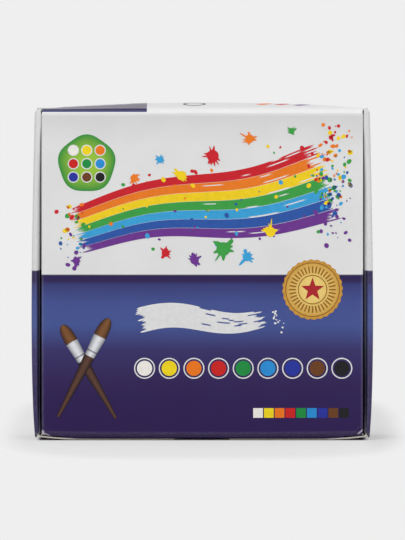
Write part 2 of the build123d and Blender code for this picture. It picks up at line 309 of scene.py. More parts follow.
def printed_side(name, split_z=wall_split, white=wall_white, extra=None, **gloss):
    """Lacquered print on a clay coating, with a faint paper grain. Extra is a function that adds to it."""

    def colour(add, place):
        bands = print_colour(add, place, split_z, white)
        return worn_and_highlighted(add, place, extra(add, place, bands) if extra else bands)

    return new_finish(name, colour, **(lacquer | gloss))


def pulp_colour(add, place):
    """Bare pulp: grey-white, a little cloudy, with darker fibre flecks."""
    cloud = add("TexNoise", place, 1 / cloud_size, 2.0)
    flecks = add("TexNoise", place, 1 / fibre_size, 5.0, 0.7)
    pulp = add("Mix", add("MapRange", cloud, 0.3, 0.7), "#c9c3b6", "#d3cec3")
    return add("Mix", add("MapRange", flecks, 0.56, 0.72, 0.0, 0.5), pulp, "#a39a89")


def edge_colour(add, place):
    """The cut edge: pale layers of pulp, finer than the board is thick."""
    return add("Mix", add("TexNoise", place, 1 / layer_size, 3.0), "#b5b0a8", "#d0ccc5")


lid_print = printed_side("lacquered_print_lid", lid_split, lid_white_with_painted_light)
wall_print = printed_side("lacquered_print_walls")
rim_print = printed_side("lacquered_print_side_walls", extra=trimmed_ink)
burnished = {"Roughness": 0.3, "Specular_IOR_Level": 0.28}
top_print = printed_side("lacquered_print_top", wall_split, lid_white_with_painted_light, violet_field, **burnished)
crease_print = printed_side("lacquered_print_crease", wall_split, lid_white_with_painted_light, violet_field)
rough = {"bump": (0.5, 0.02), "Specular_IOR_Level": 0.25}  # no print or lacquer: dull and a little rough
bare_pulp = new_finish("bare_pulp", pulp_colour, Roughness=0.85, **rough)
cut_edge = new_finish("cut_board_edge", edge_colour, Roughness=0.9, **rough)
print("board finishes:", [m.name for m in (lid_print, wall_print, rim_print, top_print, crease_print)])

# %% [markdown]
# ## Flaps that stay as packed
#
# The flaps and ears inside the carton are flat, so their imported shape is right. Each is one mesh, and its
# material tells the printed side, which points away from the jars, by the direction that a face points in.

# %% Board with its sides told apart by direction
flap_directions = {"base_panel": (0, 1, 0)}
for word, side in (("left", -1), ("right", 1)):
    for flap in ("front_ear", "back_ear", "lid_side_flap"):
        flap_directions[f"{word}_{flap}"] = (side, 0, 0)


def one_sided_board(name, outward, edge_is_printed):
    """Board printed on the side that points along outward, bare behind, with a cut or printed edge."""

    def colour(add, place):
        direction = add("TexCoord", give="Normal")
        facing = add("VectorMath", direction, outward, give="Value", operation="DOT_PRODUCT")
        printed, pulp = print_colour(add, place), pulp_colour(add, place)
        if edge_is_printed:  # the coating comes round the fold on top
            height = add("SeparateXYZ", place, give="Z")
            pulp = add("Mix", add("MapRange", height, corner_z - 0.9, corner_z - 0.7), pulp, printed)
        else:
            printed = add("Mix", add("MapRange", facing, 0.6, 0.7), edge_colour(add, place), printed)
        return add("Mix", add("MapRange", facing, -0.7, -0.6), pulp, printed)

    return new_finish(name, colour, (0.6, 0.012), Roughness=0.55, Specular_IOR_Level=0.28)


def dress(node, finish):
    """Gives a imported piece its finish."""
    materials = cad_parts[node].data.materials
    materials.clear()
    materials.append(finish)


for node, outward in flap_directions.items():
    dress(node, one_sided_board(f"boxboard_{node}", outward, edge_is_printed=node == "base_panel"))
print("flaps dressed:", len(flap_directions))

# %% [markdown]
# ## Surfaces from formulas
#
# A panel is a sheet: its outer side is a surface worked out on a grid of points, and its inner side is the
# grid moved in by the board's thickness, square to the surface. Quads join neighbouring points, and a strip
# of quads closes the cut edge. The grid also tells how sharply the sheet bends, which the print's wear and
# its painted fold highlight follow.

# %% Grids and solids


def stations(start, *runs):
    """Positions along a line from a start: each run has an end and a number of steps."""
    line = [np.array([start])]
    for end, steps in runs:
        line.append(np.linspace(line[-1][-1], end, steps + 1)[1:])
    return np.concatenate(line)


def mirrored(half):
    """Stations from the left end to the middle, carried on to the right end."""
    return np.concatenate([half, -half[-2::-1]])


def grid(x, y, z):
    """Three coordinates of a grid as points."""
    return np.stack(np.broadcast_arrays(x, y, z), axis=-1)


def smooth(value, low, high):
    """Smooth step from 0 at low to 1 at high."""
    share = np.clip((value - low) / (high - low), 0, 1)
    return share * share * (3 - 2 * share)


def lines(points, axis):
    """Directions of the grid's lines, from the steps before and after each point, and their turn per mm."""
    ends = [(1, 1) if number == axis else (0, 0) for number in range(3)]
    steps = np.diff(points, axis=axis)
    lengths = np.maximum(np.linalg.norm(steps, axis=-1, keepdims=True), 1e-9)
    turn = np.linalg.norm(np.diff(steps / lengths, axis=axis), axis=-1, keepdims=True)
    rate = 2 * turn / (np.delete(lengths, -1, axis) + np.delete(lengths, 0, axis))
    steps = np.pad(steps / lengths, ends, mode="edge")
    return np.delete(steps, -1, axis) + np.delete(steps, 0, axis), np.pad(rate, ends, mode="edge")


def shell(outer, inner, wraps=False):
    """A closed solid between two grids: its points, its quads, and 0, 1 or 2 for outer, inner and edge quads.

    With wraps, the last column joins the first. A negative volume means that the quads have to be turned.
    """
    rows, columns = outer.shape[:2]
    number = np.arange(rows * columns).reshape(rows, columns)
    if wraps:
        number = np.column_stack([number, number[:, 0]])
        loops = [number[0], number[-1][::-1]]
    else:
        loops = [np.concatenate([number[0], number[1:, -1], number[-1, -2::-1], number[-2::-1, 0]])]
    quads = [number[:-1, :-1], number[:-1, 1:], number[1:, 1:], number[1:, :-1]]
    quads = np.stack(quads, axis=-1).reshape(-1, 4)
    far = rows * columns
    edges = [np.stack([loop[1:], loop[:-1], loop[:-1] + far, loop[1:] + far], axis=-1) for loop in loops]
    points = np.concatenate([outer.reshape(-1, 3), inner.reshape(-1, 3)])
    faces = np.concatenate([quads, quads[:, ::-1] + far, *edges])
    kinds = np.repeat([0, 1, 2], [len(quads), len(quads), len(faces) - 2 * len(quads)])
    first, second, third, fourth = points[faces].transpose(1, 0, 2)
    volume = np.sum(first * (np.cross(second, third) + np.cross(third, fourth)))
    return points, faces if volume > 0 else faces[:, ::-1], kinds


print("stations, for example:", mirrored(stations(-2, (-1, 2), (0, 1))))

# %% Pieces and sheets


def piece(name, shells, finishes, body, weld=False, **marks):
    """A mesh object made of shells, that moves with a body. Marks are values per point for its materials."""
    points, faces, kinds = zip(*shells)
    starts = np.cumsum([0, *map(len, points)])
    faces = np.concatenate([quads + start for quads, start in zip(faces, starts)])
    mesh = bpy.data.meshes.new(name)
    mesh.from_pydata((np.concatenate(points) / 1000).tolist(), [], faces.tolist())
    for finish in finishes:
        mesh.materials.append(finish)
    finish_number = np.minimum(np.concatenate(kinds), len(finishes) - 1)
    mesh.polygons.foreach_set("material_index", finish_number.astype(np.int32))
    mesh.polygons.foreach_set("use_smooth", np.ones(len(faces), dtype=bool))
    for mark, values in marks.items():
        mesh.attributes.new(mark, "FLOAT", "POINT").data.foreach_set("value", values.astype(np.float32))
    if weld:
        work = bmesh.new()
        work.from_mesh(mesh)
        bmesh.ops.remove_doubles(work, verts=work.verts, dist=1e-7)
        work.to_mesh(mesh)
        work.free()
    mesh.set_sharp_from_angle(angle=math.radians(50))
    made = bpy.data.objects.new(name, mesh)
    bpy.context.scene.collection.objects.link(made)
    if body:
        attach(made, body)
    return made


def board_sheet(name, outer, facing, printed, body, wear_and_sheen=1.0, scuffs_and_highlights=(), edge=cut_edge):
    """A sheet of board whose outer side is the grid. Facing says roughly where its middle point looks.

    A scuff runs from one point to another, and is fully worn within a distance of that line. It also paints
    the highlight of a crumpled corner.
    """
    (across, turn_across), (up, turn_up) = lines(outer, 1), lines(outer, 0)
    normal = np.cross(across, up)
    normal = normal / np.maximum(np.linalg.norm(normal, axis=-1, keepdims=True), 1e-12)
    normal = normal * np.sign(normal[outer.shape[0] // 2, outer.shape[1] // 2] @ np.array(facing))
    # the bend mark drives the print's paleness along folds: stretched coating, and mostly a painted highlight
    bend = np.clip(np.maximum(turn_across, turn_up) * wear_and_sheen, 0, 1).ravel()
    scuff_and_highlight = np.zeros(len(bend))
    for start, end, reach in scuffs_and_highlights:
        run = np.subtract(end, start)
        away = outer.reshape(-1, 3)[:, [0, 2]] - start
        share = np.clip(away @ run / (run @ run), 0, 1)
        away = np.linalg.norm(away - share[:, None] * run, axis=1)
        scuff_and_highlight = np.maximum(scuff_and_highlight, 1 - smooth(away, reach, reach + 0.4))
    marks = {"bend": np.tile(bend, 2), "scuff_and_highlight": np.tile(scuff_and_highlight, 2)}
    made = piece(name, [shell(outer, outer - board * normal)], [printed, bare_pulp, edge], body, **marks)
    print(name, "quads:", len(made.data.polygons))
    return made


def rolled(distance, flat, radius):
    """Reach, depth and bend at a distance along a sheet from its middle.

    Past its flat half the sheet follows a quarter circle, so the reach is flat + r sin a and the depth
    r - r cos a, and then it runs on straight.
    """
    angle = np.clip((np.abs(distance) - flat) / radius, 0, pi / 2)
    past = np.maximum(np.abs(distance) - flat - radius * pi / 2, 0)
    reach = np.minimum(np.abs(distance), flat) + radius * sin(angle)
    return np.sign(distance) * reach, radius * (1 - cos(angle)) + past, sin(angle)


print("a sheet is", board, "mm thick")

# %% [markdown]
# ## The lid
#
# The lid's two sides and lower edge are folded back round a small radius, and its top edge runs into the
# crease that it hangs from. Board never stays dead flat: this panel swells by a few tenths of a millimetre,
# its lower edge sags in the middle, and its lower corners are crumpled from being pushed into the tray. A
# flat plate with bevelled edges would miss that, so the panel is one grid that rolls over at its edges.

# %% The lid panel
fold_radius = 0.7  # at the sides
foot_radius = 1.9  # at the lower edge
lid_spread = 0.08
lid_swell = 0.5  # how far the middle of the lid swells out
settle = 0.22  # how far the face lies back from its hinge, which stands out as a ridge
sag = 0.42  # how much higher the lower edge is at its ends than in its middle
crumple = 0.16  # depth of the dented corners, per millimetre past a line that cuts off the corner
dent_in, dent_up = 2.6, 2.2
hinge_radius = 1.5
score_depth = 0.09  # the pressed line below the hinge, and how far down it lies
score_drop = 0.2
hinge_low_z = corner_z - hinge_radius


def lid_surface_y(x, z):
    """Depth of the printed face: a shallow cushion, from a cosine across and a sine up, with slow waves.

    Below the hinge it falls back exponentially, and the pressed score line there is a bell-shaped groove.
    """
    across = cos(np.clip(x / lid_half, -1, 1) * pi / 2)
    up = sin(np.clip((z - lid_foot_z) / (hinge_low_z - lid_foot_z), 0, 1) * pi)
    wave = 0.05 * sin(x / 17.0 + 0.6) * sin(z / 23.0)
    score = score_depth * np.exp(-(((z - hinge_low_z + score_drop) / 0.3) ** 2))
    back = settle * (1 - np.exp(-np.maximum(hinge_low_z - z, 0) / 4.0))
    return face_y - (lid_swell + wave) * across * up + back + score


def raised_ends(x):
    """How much higher the lower edge lies towards its ends: a cube of the distance from the middle."""
    return sag * (np.abs(x) / lid_half) ** 3


def lid_points():
    """Outer side of the lid: flat across and up, rolled at both sides and below, with crumpled corners."""
    flat_x = lid_half + lid_spread - fold_radius
    edge = flat_x + fold_radius * pi / 2
    lip = fold_y - face_y - fold_radius
    half = stations(-edge - lip, (-edge, 1), (-flat_x, 9), (-flat_x + 4, 8), (0, 26))
    x, depth_x, bent_x = rolled(mirrored(half), flat_x, fold_radius)
    foot_z = lid_foot_z + foot_radius
    top = hinge_low_z - foot_z
    up = stations(-foot_radius * pi / 2, (0, 14), (4, 8), (top - 2, 58), (top, 14))
    over, depth_z, bent_z = rolled(np.minimum(up, 0), 0, foot_radius)
    x, z = np.meshgrid(x, np.maximum(up, 0) + over + foot_z)
    corner = np.outer(bent_z, bent_x)
    pull = 1 - (1 - math.sqrt(0.5)) * corner
    x = np.sign(x) * (flat_x + (np.abs(x) - flat_x) * np.where(np.abs(x) > flat_x, pull, 1))
    z = np.where(z < foot_z, foot_z + (z - foot_z) * pull, z)
    depth = (depth_x[None, :] ** 4 + depth_z[:, None] ** 4) ** 0.25
    dent = crumple * np.maximum(np.abs(x) - lid_half + dent_in + lid_foot_z + dent_up - z, 0) * (1 - corner)
    z = z + raised_ends(x) * (1 - smooth(z, lid_foot_z + 2, lid_foot_z + 14))
    return grid(x, np.minimum(lid_surface_y(x, z) + depth, fold_y + 0.1) + dent, z)


# white-lilac marks on the lid's crumpled lower corners: scuffs, and the painted highlight of each dented
# corner
corner_scuffs_and_highlights = [
    ((-61.0, 3.4), (-60.7, 2.5), 0.2),
    ((-60.5, 2.6), (-58.6, 1.9), 0.0),
    ((61.1, 3.9), (59.4, 2.4), 0.0),
]
lid = board_sheet("lid_printed_face", lid_points(), (0, -1, 0), lid_print, "lid", 1.2, corner_scuffs_and_highlights)
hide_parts("lid_panel")

# %% The tuck flap
tuck_round = 9.0  # radius of the flap's two free corners
tuck_drop, tuck_rise = 0.72, 0.5


def tuck_points():
    """Lower side of the tuck flap: from the lid's fold it drops onto the front wall and rises to its edge."""
    half = tuck_high[0]
    x = mirrored(stations(-half, (-half + tuck_round, 16), (0, 15)))
    within = np.maximum(np.abs(x) - half + tuck_round, 0)
    reach = tuck_high[1] - tuck_low[1] - tuck_round + np.sqrt(tuck_round**2 - within**2)
    inward = stations(0, (0.2, 10), (1, 12))[:, None] * reach
    z = tuck_low[2] + raised_ends(x) * (1 - smooth(inward, 0, 2))
    z = z - tuck_drop * smooth(inward, 0, 1.8) + tuck_rise * smooth(inward, 3, 10)
    return grid(x, tuck_low[1] + inward, z)


tuck = board_sheet("tuck_flap_sheet", tuck_points(), (0, 0, -1), lid_print, "tuck_flap", 0.3, edge=lid_print)
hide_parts("lid_tuck_flap")

# %% [markdown]
# ## The top panel and the crease that the lid hangs from
#
# The top panel is pushed up by the jars behind it and swells like a pillow. Between it and the lid runs the
# crease that bends when the lid opens. The crease is a sheet of its own, and here it is not attached to the
# tray or the lid.

# %% The top panel
ridge = 0.6  # how far the fold stands up past the carton's corners
side_roll = 0.55  # the panel turns down into its corner ears round this radius
hinge_back_y = face_y + hinge_radius


def ridge_height(x):
    """Height of the ridge that the fold makes: half as much at the left corner, by a smooth step."""
    return ridge * (1 - 0.5 * smooth(-x, 25, 58))


def top_surface_z(x, y):
    """Height of the top panel: a flattened sine over the depth times a flattened parabola across.

    At its front it falls off exponentially from the ridge of the fold, and its left side has sunk a little.
    """
    share = np.clip((y - hinge_back_y) / (floor_y - hinge_back_y), 0, 1)
    across = np.maximum(1 - (x / ear_half) ** 2, 0) ** 0.7
    pillow = bulge * np.maximum(sin(pi * share), 0) ** 0.72 * across
    fold = ridge_height(x) * np.exp(-np.maximum(y - hinge_back_y, 0) / 1.5)
    fold = fold * (1 - smooth(np.abs(x), lid_half - 0.15, lid_half + 0.25))
    sunk = 0.2 * smooth(-x, 20, 40) + 0.35 * smooth(-x, 48, 61)
    return corner_z + fold + pillow - sunk * smooth(y, hinge_back_y + 1, hinge_back_y + 8)


def top_points():
    """Outer side of the top panel, with its two sides rolled down between the plies of the side walls."""
    flat = ear_half - side_roll
    edge = flat + side_roll * pi / 2
    across = mirrored(stations(-edge, (-flat, 6), (-flat + 6, 10), (0, 24)))
    x, drop, _ = rolled(across, flat, side_roll)
    inward = stations(0, (3, 16), (35, 36), (floor_y - hinge_back_y, 12))
    x, y = np.meshgrid(x, inward + hinge_back_y)
    beside_rim = smooth(np.abs(x), lid_half - 0.1, lid_half + 0.3) * max(fold_y - hinge_back_y + 0.1, 0)
    y = y + beside_rim * (1 - smooth(y, hinge_back_y, hinge_back_y + 2))
    return grid(x, y, top_surface_z(x, y) - drop)


top_panel = board_sheet("top_panel", top_points(), (0, 0, 1), top_print, "tray", edge=lid_print)
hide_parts("back_wall")

# %% The hinge crease


def hinge_points():
    """A quarter of an oval tube along the lid's top edge, from its face up and back to the top panel."""
    flat = lid_half - 0.2
    across = stations(-flat, (-flat + 4, 6), (flat - 4, 60), (flat, 6))
    x, angle = np.meshgrid(across, stations(0, (pi / 2, 10)))
    y = lid_surface_y(x, hinge_low_z) + hinge_radius * (1 - cos(angle))
    return grid(x, y, hinge_low_z + (hinge_radius + ridge_height(x)) * sin(angle))


hinge = board_sheet("lid_hinge_crease", hinge_points(), (0, -1, 1), crease_print, None, 0.7)
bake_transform(hinge)

# %% [markdown]
# ## The rolled side walls
#
# Each side wall is one strip of board that rises from the base, rolls over at the front and goes back down
# inside, round the corner ears. From the front only the rolled edge shows, as a rounded band beside the lid.
# The wall bows out, and the slit beside the lid widens on its way down. The strip's path is worked out at
# each height, and the inner ply ends in two tabs that lock into slots in the base.

# %% The side walls
rim_outer_radius = 1.5
rim_slope_width = (0.55, 1.9)  # of the rim's inner side, at its top and from a quarter of the way down
rim_slope_depth = (0.9, 4.5)
rim_corners = (0.6, 1.9)  # rounding of the rolled edge at its foot and at its head
narrowest = 0.8  # width that the rim keeps where it is rounded
slits = {-1: (0.12, 0.22), 1: (0.2, 0.0)}  # width of the slit at its top, and how far it widens half-way down
rim_heads = {-1: 0.3, 1: 0.45}  # how far the rims stand up past the carton's corners
back_drop = 1.5  # how much lower a wall's top edge is behind its rim
foot_drop = 2.0  # and how much lower its foot, where the strip isn't trimmed back
tab_half, tab_spacing = 9.0, 62.0
tab_step = 0.03  # two stations this far to either side of a tab's end make it square
tab_middles = np.array([corner_z - tab_spacing, corner_z + tab_spacing]) / 2


def wall_bow(z):
    """How far the wall stands out: a sine of a power of the height, fullest at a third of it."""
    share = np.clip((z - ply_low[2]) / (ply_high[2] - ply_low[2]), 0, 1)
    return (ply_high[0] + 0.22 - wall_half) * sin(pi * share**0.67)


def slit(z, at_top, middle):
    """Width of the dark slit beside the lid: a sum of smooth steps on the way down."""
    steps = ((4.5, 12, 0.38 - at_top), (30, 60, middle), (80, 106, 0.35 - middle), (112, 124, -0.3))
    return at_top + sum(wider * smooth(corner_z - z, start, end) for start, end, wider in steps)


def side_wall_points(side):
    """The strip's path at each height: outer ply, quarter circle, rim, quarter ellipse, inner ply."""
    foot_z, head_z = ply_low[2] + 0.3, corner_z + rim_heads[side]
    z = stations(foot_z, (foot_z + 1.6, 8), (head_z - 1.6, 56), (head_z, 8))
    tab_ends = np.add.outer(tab_middles, (-tab_half, tab_half)).ravel()
    z = np.sort(np.concatenate([z, tab_ends - tab_step, tab_ends + tab_step]))
    rounding = 0
    for radius, from_end in zip(rim_corners, (z - foot_z, head_z - z)):
        rounding = rounding + radius - np.sqrt(radius**2 - np.clip(radius - from_end, 0, radius) ** 2)
    outer_x, inner_x = wall_half + wall_bow(z), lid_half + slit(z, *slits[side])
    drawn_in = np.minimum(rounding, np.maximum(outer_x - inner_x - narrowest, 0))
    grown = smooth(corner_z - z, 4, 34)
    slope_width, slope_depth = [np.interp(grown, (0, 1), ends) for ends in (rim_slope_width, rim_slope_depth)]
    fit = np.minimum(0.97 * (outer_x - drawn_in - inner_x) / (rim_outer_radius + slope_width), 1)
    outer_radius, slope_width = rim_outer_radius * fit, slope_width * fit
    front_y = face_y + 0.55 * rounding
    rim_y, slope_end_y = front_y + outer_radius, front_y + slope_depth
    near_foot = 1 - smooth(z, foot_z, foot_z + 12)
    path = []
    for share in stations(0, (1, 12)):
        y = floor_y + share * (rim_y - floor_y)
        near_front = smooth(-y, 10, 19)
        lowered = back_drop * (1 - near_front) * smooth(z, head_z - 20, head_z)
        lowered = lowered + foot_drop * smooth(y, rim_y + 0.5, rim_y + 4) * near_foot
        path.append(grid(wall_half + wall_bow(z) * share - drawn_in * near_front, y, z - lowered))
    arc = stations(0, (pi / 2, 9))
    for angle in arc[1:]:
        x = outer_x - drawn_in - outer_radius * (1 - cos(angle))
        path.append(grid(x, rim_y - outer_radius * sin(angle), z))
    for angle in arc[::-1]:
        x = inner_x + slope_width * (1 - cos(angle))
        path.append(grid(x, slope_end_y - slope_depth * sin(angle), z))
    ply_ends = inner_low[2] + 0.2, inner_high[2] - 0.2
    ply_z = np.interp(z, (foot_z, head_z), ply_ends)
    in_tab = np.abs(np.subtract.outer(tab_middles, ply_z)).min(axis=0) < tab_half
    for share in stations(0, (1, 10))[1:]:
        y = slope_end_y + share * (floor_y + board * in_tab - slope_end_y)
        x = inner_x + (inner_low[0] - inner_x) * smooth(share, 0, 0.8)
        lowered = foot_drop * smooth(share, 0, 0.1) * near_foot
        path.append(grid(x, y, z + (ply_z - z) * smooth(share, 0, 0.12) - lowered))
    return np.stack(path) * (side, 1, 1)


for side, word in ((-1, "left"), (1, "right")):
    wall = board_sheet(f"{word}_side_wall", side_wall_points(side), (0, -1, 0), rim_print, "tray", 0.7)
    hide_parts(f"{word}_outer_ply", f"{word}_rolled_rim", f"{word}_inner_ply")

# %% [markdown]
# ## The front wall
#
# The carton stands on this wall, so only its corners show: there the bare cut edge lifts off the floor and
# turns up into the corner ears. The wall is one grid whose outline is flat, then a long shallow arc, then a
# tight one. Its half-round thumb notch is cut by moving the free edge back along a half circle.

# %% The front wall
front_flat_half = 42.0
turn_radius = 1.9
end_rise = front_high[2] - turn_radius
notch_radius, notch_end = 10.4, 9.8  # where the notch's stations grow dense
drawn_back = 2.5  # how far the middle of the free edge lies behind its ends


def front_points():
    """Outer side of the front wall: the outline at the free edge flattens towards the base."""
    corner_x = ear_half - turn_radius
    turn = 2 * math.atan(end_rise / (corner_x - front_flat_half))
    long_radius = turn_radius + (corner_x - front_flat_half) / sin(turn)
    flat_x = np.append(stations(0, (notch_end, 12), (notch_radius, 12)), [20, 34])
    shallow, tight = stations(0, (turn, 12)), stations(turn, (pi / 2, 10))[1:]
    long_x, long_rise = front_flat_half + long_radius * sin(shallow), long_radius * (1 - cos(shallow))
    tight_x, tight_rise = corner_x + turn_radius * sin(tight), end_rise + turn_radius * (1 - cos(tight))
    x = np.concatenate([flat_x, long_x, tight_x])
    rise = np.concatenate([0 * flat_x, long_rise, tight_rise])
    x, rise = np.concatenate([-x[:0:-1], x]), np.concatenate([rise[:0:-1], rise])
    notch = np.sqrt(np.maximum(notch_radius**2 - x**2, 0))
    start = front_low[1] + notch + drawn_back * (1 - smooth(np.abs(x), 44, 56))
    y = start + stations(0, (1, 30))[:, None] * (floor_y - start)
    flatten = 1 - smooth(y, front_low[1], floor_y)
    return grid(x, y, np.maximum(rise - end_rise, 0) + np.minimum(rise, end_rise) * flatten)


front = board_sheet("front_wall_sheet", front_points(), (0, 0, -1), wall_print, "tray", 0.5)
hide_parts("front_wall")

# %% [markdown]
# ## Ink on the board
#
# The design is a plain, bright one: a sweep of seven brush strokes with drops of paint, a badge with nine
# dots that lie as the jars do, a gold seal, crossed brushes, a white stroke and colour samples. Each patch
# of ink is a thin solid on the board, because its edge then stays sharp at any distance. It is drawn flat,
# in millimetres, and another function lays it on the swelling surface. Ink takes the same lacquer as the
# board, and where it fades to another colour, each point says how far.

# %% Ink, and how a patch is laid on a surface
ink_height = 0.05  # real ink is far thinner, but this is already too thin to see


def printed_ink(name, colour, faded=None):
    """Offset ink under lacquer, with the grain of the paper in it. It may fade to a second colour."""

    def ink(add, place):
        shade = add("Attribute", give="Fac", attribute_name="shade")
        ink = add("Mix", shade, colour, faded or colour)
        return mottled(add, place, ink, grain_size, 0.93, 4.0)

    return new_finish(name, ink, **lacquer)


def on_lid(x, z, lift):
    """A drawing laid on the lid, with lift measured out of its face."""
    return grid(x, lid_surface_y(x, z) - lift, z)


def patch(drawing, layer=1, wraps=False, surface=on_lid):
    """A patch of ink: the drawing on the surface, closed behind by its copy just inside the board."""
    u, v = drawing
    return shell(surface(u, v, ink_height * layer), surface(u, v, -ink_height), wraps)


def blot(u, v, reach, layer=1, shares=(0.0, 1.0), turn=0.0, surface=on_lid):
    """A round patch whose edge is at a reach given for each direction, with rings of points inside it."""
    angle = np.linspace(0, 2 * pi, len(reach), endpoint=False) + turn
    reach = np.outer(shares, reach)
    return patch((u + reach * cos(angle), v + reach * sin(angle)), layer, True, surface)


def disc(u, v, radius, layer=1, hole=0.0, points=40, surface=on_lid):
    """A disc, or a ring if it has a hole."""
    return blot(u, v, np.full(points, radius), layer, (hole / radius, 1), surface=surface)


def band(path, t, width, side=0.0, rows=2, tip=0.0):
    """A band along a path at the shares t: points at side plus or minus half the width, square to the path.

    Within tip of either end the width falls off as a square root.
    """
    u, v = path(t)
    along_u, along_v = np.gradient(u), np.gradient(v)
    length = np.hypot(along_u, along_v)
    if tip:
        width = width * np.sqrt(np.clip(np.minimum(t - t[0], t[-1] - t) / tip, 0.03, 1))
    across = side + np.linspace(-0.5, 0.5, rows)[:, None] * width
    return u - across * along_v / length, v + across * along_u / length


def straight(start, end):
    """The path of a straight line between two points."""
    return lambda t: (start[0] + (end[0] - start[0]) * t, start[1] + (end[1] - start[1]) * t)


def print_on(name, shells, ink, body="lid", **marks):
    """One colour of the print as one piece."""
    return piece(name, shells, [ink], body, weld=not marks, **marks)


print("ink stands out by", ink_height, "mm")

# %% Strokes, drops and splashes
dice = np.random.default_rng(9)
shortest_run = 0.03  # share of a stroke
overlap = 1.06  # of neighbouring bristle marks


def brush_stroke(path, width, bristles, ragged, dryness, side=lambda t: 0 * t, surface=on_lid):
    """A stroke of a flat brush: narrow bands side by side, each with its own ends and some with a dry gap."""
    shells = []
    for number in range(bristles):
        place = (number + 0.5) / bristles - 0.5
        first = dice.uniform(0, ragged)
        last = 1 - dice.uniform(0, 1.8 * ragged)
        gap = dice.uniform(0.45, 0.9)
        runs = [(first, last)]
        if dice.random() < dryness:
            runs = [(first, gap), (gap + dice.uniform(0.02, 0.09), last)]
        for start, end in runs:
            if end - start >= shortest_run:
                t = np.linspace(start, end, max(6, round(60 * (end - start))) + 1)
                mark = band(path, t, width(t) / bristles * overlap, side(t) + place * width(t), tip=0.02)
                shells.append(patch(mark, surface=surface))
    return shells


def drop(u, v, radius, layer=1):
    """A drop of paint: a circle drawn out a little in one direction."""
    angle = np.linspace(0, 2 * pi, 18, endpoint=False)
    reach = radius * (1 + dice.uniform(0, 0.25) * cos(2 * (angle - dice.uniform(0, pi))))
    return blot(u, v, reach, layer)


def splash(u, v, radius, arms, layer):
    """A splash: a circle with bell-shaped arms of random length and width at random angles."""
    angle = np.linspace(0, 2 * pi, 120, endpoint=False)
    reach = 0.62
    for _ in range(arms):
        turn = np.angle(np.exp(1j * (angle - dice.uniform(0, 2 * pi))))
        reach = reach + dice.uniform(0.12, 0.62) * np.exp(-((turn / dice.uniform(0.06, 0.2)) ** 2))
    return blot(u, v, reach * radius, layer)


print("bristle marks are", overlap, "times as wide as their spacing")

# %% [markdown]
# ## The sweep of colours
#
# Seven strokes of a flat brush run side by side in the order of a rainbow, and fan out as they rise to the
# right. Each tuft of a flat brush starts and runs dry at its own place, so a stroke is made of narrow bands.
# Drops and splashes of the same colours lie round its ends.

# %% Seven strokes, with drops and splashes
sweep_shades = {
    "scarlet": "#c8202b", "orange": "#e87a22", "yellow": "#efcd1f", "green": "#3c9c45", "sky": "#3a9fd4",
    "blue": "#2c55a3", "violet": "#6b358c",
}
sweep_inks = {colour: printed_ink(f"offset_ink_{colour}", shade) for colour, shade in sweep_shades.items()}
drop_clouds = ((1.0, 0.05, 22), (0.0, 0.03, 6), (0.55, 0.3, 8))  # middle, spread and number of drops
badge = (-44.0, 105.5)
seal = (42.0, 57.5)


def sweep_path(t):
    """Middle line of the sweep: a smooth step up to the right, with one slow wave on it."""
    return -49 + 99 * t, 79.5 + 20 * smooth(t, 0, 1) + 4.5 * sin(2 * pi * t)


def sweep_pitch(t):
    """Distance from one stroke to the next, growing to the right."""
    return 2.5 + 1.9 * t


def clear_of_edges(u, v):
    """True where a drop lies on the white half of the lid and off the badge and the seal."""
    on_white = abs(u) < 57 and lid_split + 2 < v < 121
    return on_white and math.dist((u, v), badge) > 13 and math.dist((u, v), seal) > 14


for place, (colour, ink) in zip(range(3, -4, -1), sweep_inks.items()):
    stroke_width, stroke_side = lambda t: 0.96 * sweep_pitch(t), lambda t: place * sweep_pitch(t)
    shells = brush_stroke(sweep_path, stroke_width, 8, 0.035, 0.3, stroke_side)
    for middle, spread, drops in drop_clouds:
        for _ in range(drops):
            t = middle + dice.normal(0, spread)
            u, v = sweep_path(t)
            v = v + (place + dice.normal(0, 1.6)) * sweep_pitch(t)
            u = u + dice.normal(0, 1.5)
            if clear_of_edges(u, v):
                shells.append(drop(u, v, dice.uniform(0.22, 0.95), layer=2))
    print_on(f"print_sweep_{colour}", shells, ink)

splashes = {  # place across and up the lid, and size
    "scarlet": [(4, 108.5, 3.6), (-14, 71.5, 2.4)],
    "orange": [(18, 115, 2.6), (-26, 100, 2.2)],
    "yellow": [(-8, 101, 2.8), (26, 79.5, 3.0)],
    "green": [(8, 73, 4.2), (34, 118, 1.8)],
    "sky": [(-16, 107, 2.0), (17, 70, 2.6)],
    "violet": [(-3, 68.8, 2.6), (-48, 68.5, 2.2)],
}
for colour, places in splashes.items():
    shells = [splash(*place_and_size, arms=11, layer=3) for place_and_size in places]
    print_on(f"print_splash_{colour}", shells, sweep_inks[colour])
print("strokes:", len(sweep_inks), "splashes:", sum(len(places) for places in splashes.values()))

# %% [markdown]
# ## The badge and the seal
#
# The badge is a green blot, lighter in its middle, with nine dots that show the colours as the jars lie in
# the carton. The seal is a gold disc with a waved edge, two fine rings, a fan of rays and a star.

# %% Badge
jar_colours = {
    "white": "#ece9e1", "lemon": "#efd51e", "orange": "#e9761c", "scarlet": "#c9231f", "green": "#1f8a41",
    "sky_blue": "#2a8bd0", "ultramarine": "#27349a", "brown": "#6a3e20", "black": "#1c1b1e",
}
white_ink = printed_ink("offset_ink_white", "#dedede")
sample_inks = {name: printed_ink(f"offset_ink_{name}_sample", shade) for name, shade in jar_colours.items()}
dot_pitch = 5.1


